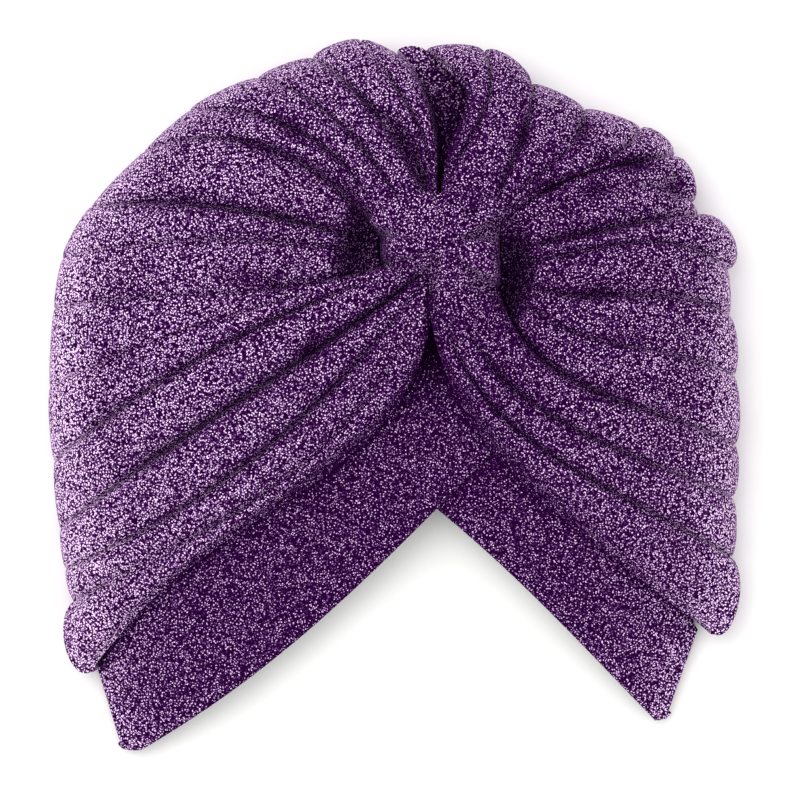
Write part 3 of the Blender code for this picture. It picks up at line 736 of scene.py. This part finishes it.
def fan_columns(creases):
    """Each column's crease, and its share of the way to the next one. Columns stand about
    MM_PER_COLUMN apart where the fold is widest, and crowd at creases and crests by
    s - sin(4 pi s) / (6 pi)."""
    widest = np.linalg.norm(np.diff(creases, axis=1), axis=2).max(axis=0)
    first, shares = [], []
    for k, gap in enumerate(widest):
        steps = max(FEWEST_COLUMNS, round(gap / MM_PER_COLUMN))
        share = np.linspace(0.0, 1.0, steps, endpoint=False)
        first += [k] * steps
        shares += list(share - np.sin(4.0 * math.pi * share) / (6.0 * math.pi))
    return np.array(first + [len(widest) - 1]), np.array(shares + [1.0])


def fold_crests(table, creases, cut, t):
    """The height of the crests at each crease, and the pillow under them. The pillow goes from
    edge_z at the rim to swell_z with (1 - t^3)^0.5. The crests rise or fall to it from root_z, in
    a steep stage and a slow one. The last crest is the drape's hem, which lands on the headband."""
    time = t[:, None]
    pillow = (1.0 - time**PILLOW_POWER) ** PILLOW_ROUND
    pillow = table["edge_z"] + (table["swell_z"] - table["edge_z"]) * pillow
    rise = ROOT_SHARE * smooth(time / ROOT_REACH) ** ROOT_POWER
    rise = rise + (1.0 - ROOT_SHARE) * smooth(time / ROOT_SLOPES)
    crest = mix(table["root_z"], pillow, rise)
    hem = creases[:, -1]
    on_band = over_band(hem[:, 0], hem[:, 1]) + cut[:, -1]
    crest[:, -1] = mix(table["root_z"][-1], on_band, smooth(t / HEM_LANDS))
    return crest, pillow


def crease_dip(table, cut, width, first, share):
    """How far a fold lies below its crests. The cut of each crease beside it is shared between an
    arch over the whole fold, 1 - sqrt(1 - (2 s - 1)^2), and a flank near the crease,
    1 - sqrt(1 - (1 - d)^2) of the distance d over its reach."""
    dip = np.zeros_like(width)
    for near, toward in ((first, share), (first + 1, 1.0 - share)):
        depth = np.minimum(cut[:, near], STEEPEST * width)
        arched = ARCH_SHARE * np.minimum(depth, ARCH_MOST)
        flank = np.clip(toward * width / table["reach"][near], 0.0, 1.0)
        dip += arched * (1.0 - toward) * (1.0 - arch_over(share))
        dip += (depth - arched) * (1.0 - np.sqrt(1.0 - (1.0 - flank) ** 2))
    return dip


def sunk_share(table, time, width, first, share):
    """By what share a fold is drawn down. It goes down by a smooth step after the knot and comes up
    by another past sink_ends. Across the fold it grows with s, apart from the first fold, whose
    floor is level, and ends in a wall SINK_WALL wide at the next crease."""
    slopes = np.where(first == 0, 1.0, share)
    sunk_to = table["sink_ends"][first]
    sunk = smooth(time / SINK_STARTS) * (1.0 - smooth((time - sunk_to) / SINK_FADES))
    return table["sink"][first] * sunk * slopes * smooth((1.0 - share) * width / SINK_WALL)


def front_painted_light(time, rim, plan, skin, pressed, sunk, wrinkled):
    """The painted light on a front: a painted sheen near the rim, most at the sides by x^2 / (x^2 + y^2)
    from the heart, and painted shade towards the knot, each by a smooth step. Painted shade darkens it too
    where the fold is sunk or far below the pillow, in wrinkles, and on steep flanks by 1 - z^2 of the
    normal."""
    painted_shade = SUNK_PAINTED_SHADE * sunk + CREASE_PAINTED_SHADE * (1.0 - grid_normals(skin, 1.0)[..., 2] ** 2) * (1.0 - rim)
    low, full = HOLLOW_PRESSED
    painted_shade += HOLLOW_PAINTED_SHADE * smooth((pressed - low) / (full - low))
    painted_shade += WRINKLE_PAINTED_SHADE * wrinkled
    aside = plan[..., 0] - HEART[0]
    aside = aside**2 / (aside**2 + (plan[..., 1] - HEART[1]) ** 2)
    near_rim = smooth((time - RIM_SHEEN_STARTS) / (1.0 - RIM_SHEEN_STARTS))
    film_and_painted_light = RIM_PAINTED_SHEEN * near_rim * mix(TOP_SHEEN_SHARE, 1.0, aside)
    return film_and_painted_light - painted_shade - INNER_PAINTED_SHADE * (1.0 - smooth(time))


def fan_of_folds(folds, wrinkles):
    """A gathered front's outer skin, rows from the knot to the flange under the rim by columns from crease
    to crease, the same skin with its creases filled, its painted sheen and shade, and the rows' times.

    In plan a column is the mix of two neighbouring creases. Its height is the mix of their crests
    less the dip, drawn down where the fold is sunk, less the wrinkles and plus the lumps. Each fold
    stands out by its lobe at the rim, and turns under there as a quarter ellipse.
    """
    t = 0.5 - 0.5 * np.cos(np.linspace(0.0, 1.0, ROWS) * math.pi)
    t = mix(t, np.linspace(0.0, 1.0, ROWS), ROWS_EVEN)
    time = t[:, None]
    creases = np.stack([along(crease_line(fold), t) for fold in folds], axis=1)
    first, share = fan_columns(creases)
    second = first + 1
    plan = mix(creases[:, first], creases[:, second], share[None, :, None])
    width = np.linalg.norm(creases[:, second] - creases[:, first], axis=2)

    table = {name: np.array([getattr(fold, name) for fold in folds], float) for name in Fold._fields[1:]}
    rim = smooth((time - RIM_STARTS) / (1.0 - RIM_STARTS))
    cut = mix(table["root_cut"], table["mid_cut"], smooth(time / CUT_FULL))
    cut = mix(cut, table["edge_cut"], rim)
    crest, pillow = fold_crests(table, creases, cut, t)
    filled = mix(crest[:, first], crest[:, second], share ** table["lean"][first])
    dip = crease_dip(table, cut, width, first, share)
    sunk = sunk_share(table, time, width, first, share)
    wrinkled = 1.0 - smooth((time - WRINKLES_FADE) / (1.0 - WRINKLES_FADE))
    wrinkled = wrinkled * wrinkle_depth(plan, wrinkles)
    height = mix(filled - dip, SUNK_LEVEL, sunk) - wrinkled
    x, y = plan[..., 0], plan[..., 1]
    for size, length, seed in LUMPS:
        height += size * unevenness(x, y, length, seed) * smooth(time / LUMPS_FULL)
    hangs = (second == len(folds) - 1) & (time > HEM_LANDS)
    height = np.where(hangs, np.maximum(height, over_band(x, y)), height)

    step = mix(turned_under(folds)[first], turned_under(folds)[second], share[:, None])
    lobe = (table["lobe"][first] * arch_over(share))[:, None]
    outward = plan - step * lobe * rim[..., None]
    skin = np.concatenate([outward, height[..., None]], axis=2)
    plain = np.concatenate([plan, filled[..., None]], axis=2)

    angle = np.linspace(0.0, math.pi / 2.0, RIM_ROWS + 1)[1:, None]
    run = UNDER_RUN * (1.0 - np.cos(angle)) - lobe.T * np.cos(angle)
    under = plan[-1] + step * run[..., None]
    drop = height[-1] * (1.0 - np.sin(angle))
    turned = np.concatenate([under, drop[..., None]], axis=2)
    flange = np.column_stack([plan[-1] + step * (UNDER_RUN + FLANGE), np.zeros(len(share))])
    pressed = np.clip(pillow[:, first] - height, 0.0, None)
    film_and_painted_light = front_painted_light(time, rim, plan, skin, pressed, sunk, wrinkled)
    film_and_painted_light = np.vstack([film_and_painted_light, np.repeat(film_and_painted_light[-1:], RIM_ROWS + 1, axis=0)])
    return np.concatenate([skin, turned, flange[None]]), plain, film_and_painted_light, t


def rolled_edge(edge, outward, radius):
    """Columns that roll a free edge under: outward by r sin(a) and down by r (1 - cos(a)) as a
    goes from 0 to ROLL_TURN."""
    angle = np.radians(np.linspace(0.0, ROLL_TURN, ROLL_COLUMNS + 1)[1:])[None, :, None]
    radius = radius[:, None, None]
    out = np.column_stack([outward, np.zeros(len(outward))])[:, None]
    down = np.array([0.0, 0.0, -1.0])
    return edge[:, None] + out * radius * np.sin(angle) + down * radius * (1.0 - np.cos(angle))


def front_piece(name, folds, wrinkles, turn, painted_shade_taken, material):
    """A gathered front with its thickness and its free edges rolled under: the hem, and on the right front
    the edge over the parting. The inner skin lies FRONT_THICK along the normals of the filled skin, so that
    it stays clear of itself in the creases. turn is 1 for the left front and -1 for the right one, and the
    argument after turn is painted shade, taken off the front's painted light."""
    outer, plain, film_and_painted_light, t = fan_of_folds(folds, wrinkles)
    t = np.append(t, np.ones(len(outer) - len(t)))
    fade = np.maximum(1.0 - smooth((t - ROLL_FADES) / (1.0 - ROLL_FADES)), ROLL_LEAST)
    hem = rolled_edge(outer[:, -1], left_of(crease_line(folds[-1]), t) * turn, ROLL * fade)
    parts = [outer, hem]
    painted_light_parts = [film_and_painted_light, np.repeat(film_and_painted_light[:, -1:], ROLL_COLUMNS, axis=1)]
    start = 0
    if turn < 0.0:
        radius = PARTING_ROLL * fade * smooth(t / PARTING_ROLL_FULL)
        radius = np.maximum(radius, PARTING_ROLL_LEAST)
        edge = rolled_edge(outer[:, 0], left_of(crease_line(folds[0]), t), radius)
        parts.insert(0, edge[:, ::-1])
        painted_light_parts.insert(0, np.repeat(film_and_painted_light[:, :1], ROLL_COLUMNS, axis=1))
        start = ROLL_COLUMNS
    whole = np.concatenate(parts, axis=1)
    whole[ROWS:, :, 2] = np.maximum(whole[ROWS:, :, 2], 0.0)
    normals = grid_normals(whole, turn)
    normals[:ROWS, start : start + plain.shape[1]] = grid_normals(plain, turn)
    inner = whole - normals * FRONT_THICK
    inner[-1, :, 2] = FRONT_THICK
    inner[ROWS:, :, 2] = np.maximum(inner[ROWS:, :, 2], 0.0)
    return cloth_piece(name, whole, inner, np.concatenate(painted_light_parts, axis=1) - painted_shade_taken, material)


GATHERED_SHOWN = -0.02
gathered_jersey = glitter_jersey("gathered_glitter_jersey", GATHERED_SHOWN)
left_front = front_piece("left_front", LEFT_FOLDS, LEFT_WRINKLES, 1.0, 0.0, gathered_jersey)
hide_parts("left_panel")
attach(left_front, "root")

# The other half of the gathered crown, made from the jersey as the left one is. Its drape lies over the end
# of the lap, and its first fold overhangs the parting. It is made a little darker with painted shade.

RIGHT_WRINKLES = (
    Wrinkle(80.0, 81.6, 20, 97.0, 83.0, -6, 0.38, 5.0, 2.0, 1.6),
    Wrinkle(68.0, 72.0, 20, 84.0, 78.6, 24, 0.38, 3.0, 1.8, 1.8),
    Wrinkle(52.0, 75.0, 10, 64.0, 77.0, 10, 0.38, 2.6, 2.0, 1.6),
    Wrinkle(97.5, 81.5, -30, 108.0, 69.0, -60, 0.38, 5.0, 2.6, 1.4),
    Wrinkle(108.0, 79.5, -90, 110.5, 72.5, -50, 0.38, 2.2, 1.4, 1.6),
    Wrinkle(78.0, 92.0, -78, 75.0, 82.5, -110, 0.38, 2.6, 2.4, 1.5),
    Wrinkle(66.0, 35.8, 4, 88.0, 38.0, -2, 0.38, 2.6, 1.6, 2.0),
    Wrinkle(76.0, 22.0, -12, 103.0, 16.0, -22, 0.38, 1.8, 1.8, 1.8),
    Wrinkle(56.0, 65.0, 8, 76.0, 71.0, 26, 0.38, 1.4, 1.8, 1.6),
    Wrinkle(60.0, 57.0, 8, 88.0, 64.0, 20, 0.38, 1.2, 2.0, 1.6),
    Wrinkle(28.0, 22.0, -58, 52.0, -6.0, -36, 0.38, 1.4, 1.6, 1.8),
    Wrinkle(34.0, 28.0, -62, 64.0, -8.0, -34, 0.38, 1.2, 2.0, 1.6),
    Wrinkle(84.0, 8.0, -24, 112.0, -8.0, -30, 0.38, 1.2, 2.4, 1.4),
    Wrinkle(86.0, -16.0, -24, 114.0, -28.0, -24, 0.38, 1.0, 2.4, 1.4),
    Wrinkle(100.0, -50.0, -34, 118.0, -62.0, -36, 0.38, 1.2, 2.0, 1.4),
    Wrinkle(100.0, 6.0, -70, 104.0, -6.0, -100, 0.38, 1.2, 2.0, 1.4),
    Wrinkle(48.8, 102.5, -100, 45.8, 87.0, -104, 0.38, 3.0, 1.5, 1.5),
    Wrinkle(71.6, 107.0, -96, 66.4, 88.0, -110, 0.38, 3.4, 1.7, 1.5),
)
# Painted shade over the whole right front.
RIGHT_PAINTED_SHADE = 0.02

right_front = front_piece(
    "right_front", RIGHT_FOLDS, RIGHT_WRINKLES, -1.0, RIGHT_PAINTED_SHADE, gathered_jersey
)
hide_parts("right_panel")
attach(right_front, "root")

# Knot
# A short band of the jersey wound over the roots of the folds, with its ends sewn down behind. The
# cloth bunched up under it makes it a firm pad.

KNOT_CENTRE = (19.0, 54.0)
KNOT_TOP = 57.4
KNOT_BASE = 20.0
KNOT_THINNEST = 2.0
KNOT_TAPER = 0.9
KNOT_RINGS = 60
KNOT_SPOKES = 240
ROOT_SAMPLES = (0.0, 0.04, 0.1, 0.2, 0.35, 0.5, 0.65, 0.8, 0.9)

# The knot ends KNOT_INSET inside a root that is lower than KNOT_HIGH, in a steep wall over a
# hollow, and runs out flat under a root that is higher. Past KNOT_LIP_HIGH it reaches KNOT_LIP
# beyond the root. KNOT_STEEP and KNOT_FLAT are the two powers of its profile in each case. Round
# the ring these are blended KNOT_BLENDS times with their neighbours.
KNOT_HIGH = (30.0, 43.0)
KNOT_LIP_HIGH = (46.5, 52.0)
KNOT_LIP = 5.0
KNOT_INSET = 0.6
KNOT_SINKS = 1.2
KNOT_STEEP = (9.0, 0.4)
KNOT_FLAT = (2.0, 1.5)
KNOT_BLENDS = 5
RADIUS_BLENDS = 3

# Wrinkles and lumps fade out at the knot's edge with 1 - q^4.
KNOT_CALM = 4
KNOT_WRINKLES = (
    Wrinkle(0.0, 57.0, -8, 38.0, 58.0, 12, 0.38, 0.7, 1.8, 1.6),
    Wrinkle(2.0, 50.0, -4, 36.0, 49.0, 4, 0.38, 0.6, 2.0, 1.6),
    Wrinkle(24.0, 73.0, -60, 32.0, 67.0, 30, 0.38, 2.4, 2.4, 1.4),
    Wrinkle(12.0, 45.0, 60, 17.0, 56.0, 80, 0.38, 0.8, 2.0, 1.4),
)
KNOT_LUMPS = ((0.5, 16.0, 8), (0.2, 5.0, 9))
# The whole knot is drawn darker by a constant. Its steep sides over the hollows are darker still by painted
# shade, from KNOT_SIDE_STARTS of the way out.
KNOT_FILM = -0.045
KNOT_SIDE_PAINTED_SHADE = 0.08
KNOT_SIDE_STARTS = 0.85


def rounded(values, times):
    """Values round a ring, each mixed so many times with its two neighbours, which count half."""
    for _ in range(times):
        values = (np.roll(values, 1) + np.roll(values, -1) + 2.0 * values) / 4.0
    return values


def root_ring():
    """The radius and the height of the folds' roots at each spoke round the knot: the roots are
    sampled between neighbouring creases, sorted by angle and read off at even angles."""
    roots = []
    for folds in (LEFT_FOLDS[1:], RIGHT_FOLDS):
        for here, there in zip(folds, folds[1:]):
            for share in ROOT_SAMPLES:
                x = mix(here.root_x, there.root_x, share)
                y = mix(here.root_y, there.root_y, share)
                roots.append((x, y, mix(here.root_z, there.root_z, share**here.lean)))
    roots = np.array(roots)
    spoke = roots[:, :2] - np.array(KNOT_CENTRE)
    radius = np.linalg.norm(spoke, axis=1)
    angle = np.arctan2(spoke[:, 1], spoke[:, 0]) % (2.0 * math.pi)
    order = np.argsort(angle)
    around = np.linspace(0.0, 2.0 * math.pi, KNOT_SPOKES, endpoint=False)
    radius = np.interp(around, angle[order], radius[order], period=2.0 * math.pi)
    height = np.interp(around, angle[order], roots[order, 2], period=2.0 * math.pi)
    return around, rounded(radius, RADIUS_BLENDS), height


def knot_surface():
    """The knot's skin in rings about its centre, and its film, with painted shade on its steep sides. The
    height over a spoke is root + (top - root) (1 - q^n)^e, with q from 0 in the middle to 1 at the edge. n
    and e go from KNOT_STEEP to KNOT_FLAT by a smooth step of the root's height."""
    around, radius, height = root_ring()
    low, full = KNOT_HIGH
    high = rounded(smooth((height - low) / (full - low)), KNOT_BLENDS)
    low, full = KNOT_LIP_HIGH
    lip = rounded(smooth((height - low) / (full - low)), KNOT_BLENDS)
    reach = mix(radius - KNOT_INSET, radius + KNOT_LIP, lip)
    power = mix(KNOT_STEEP[0], KNOT_FLAT[0], high)
    fall = mix(KNOT_STEEP[1], KNOT_FLAT[1], high)
    root = height - KNOT_SINKS * high
    q = np.sin(np.linspace(0.0, 1.0, KNOT_RINGS) * math.pi / 2.0)[:, None]
    z = root + (KNOT_TOP - root) * (1.0 - q**power) ** fall
    x = KNOT_CENTRE[0] + q * reach * np.cos(around)
    y = KNOT_CENTRE[1] + q * reach * np.sin(around)
    calm = 1.0 - q**KNOT_CALM
    z -= wrinkle_depth(np.stack([x, y], axis=2), KNOT_WRINKLES) * calm
    for size, length, seed in KNOT_LUMPS:
        z += size * unevenness(x, y, length, seed) * calm
    # Painted shade on the knot's steep sides over the hollows.
    side = smooth((q - KNOT_SIDE_STARTS) / (1.0 - KNOT_SIDE_STARTS))
    film_and_painted_light = KNOT_FILM - KNOT_SIDE_PAINTED_SHADE * side * (1.0 - high)
    return np.stack([x, y, z], axis=2), film_and_painted_light


knot_outer, knot_film_and_painted_shade = knot_surface()
knot_axis = np.array([*KNOT_CENTRE, 0.0])
knot_inner = knot_axis + (knot_outer - knot_axis) * KNOT_TAPER
knot_inner[..., 2] = np.minimum(KNOT_BASE, knot_outer[..., 2] - KNOT_THINNEST)
knot_wrap = ring_piece("knot_wrap", knot_outer, knot_inner, knot_film_and_painted_shade, gathered_jersey)
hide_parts("knot")
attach(knot_wrap, "root")

# Floor, light and camera
# The floor is matt white paper in a white room, with one softbox high on the upper left. The camera
# looks straight down, and its frame is FRAME_WIDTH wide at FRAME_LEVEL over the floor.

FLOOR_HALF = 3000.0
PAPER_WHITE = "fbfbf9"
PAPER_ROUGHNESS = 0.9
ROOM_LIGHT = 1.05
LAMP_AT = (-500.0, 500.0, 1300.0)
LAMP_TURN = -21
LAMP_SIDE = 1200.0
LAMP_WATTS = 8.0
CAMERA_HEIGHT = 1600.0
FRAME_WIDTH = 300.0
FRAME_LEVEL = 10.0
FRAME_CENTRE = (2.25, -2.25)
SENSOR = 36.0
CAMERA_SEES = 10000.0

floor_mesh = bpy.data.meshes.new("floor")
corners = np.array([(-1, -1, 0), (1, -1, 0), (1, 1, 0), (-1, 1, 0)]) * FLOOR_HALF * MM
floor_mesh.from_pydata(corners.tolist(), [], [(0, 1, 2, 3)])
floor_paper = bpy.data.materials.new("white_paper")
floor_paper.use_nodes = True
paper = floor_paper.node_tree.nodes["Principled BSDF"]
paper.inputs["Base Color"].default_value = linear(PAPER_WHITE)
paper.inputs["Roughness"].default_value = PAPER_ROUGHNESS
floor_mesh.materials.append(floor_paper)
floor = bpy.data.objects.new("floor", floor_mesh)
bpy.context.scene.collection.objects.link(floor)

world = bpy.data.worlds.new("studio")
world.use_nodes = True
world.node_tree.nodes["Background"].inputs["Color"].default_value = (1.0, 1.0, 1.0, 1.0)
world.node_tree.nodes["Background"].inputs["Strength"].default_value = ROOM_LIGHT
bpy.context.scene.world = world

lamp_data = bpy.data.lights.new("softbox", "AREA")
lamp_data.shape = "RECTANGLE"
lamp_data.size = LAMP_SIDE * MM
lamp_data.size_y = LAMP_SIDE * MM
lamp_data.energy = LAMP_WATTS
lamp = bpy.data.objects.new("softbox", lamp_data)
lamp.location = np.array(LAMP_AT) * MM
lamp.rotation_euler = (math.radians(LAMP_TURN), math.radians(LAMP_TURN), 0.0)
bpy.context.scene.collection.objects.link(lamp)

camera_data = bpy.data.cameras.new("camera")
camera_data.sensor_width = SENSOR
camera_data.lens = SENSOR * (CAMERA_HEIGHT - FRAME_LEVEL) / FRAME_WIDTH
camera_data.clip_end = CAMERA_SEES * MM
camera = bpy.data.objects.new("camera", camera_data)
camera.location = np.array([*FRAME_CENTRE, CAMERA_HEIGHT]) * MM
bpy.context.scene.collection.objects.link(camera)
bpy.context.scene.camera = camera
bpy.context.scene.view_settings.view_transform = "Standard"
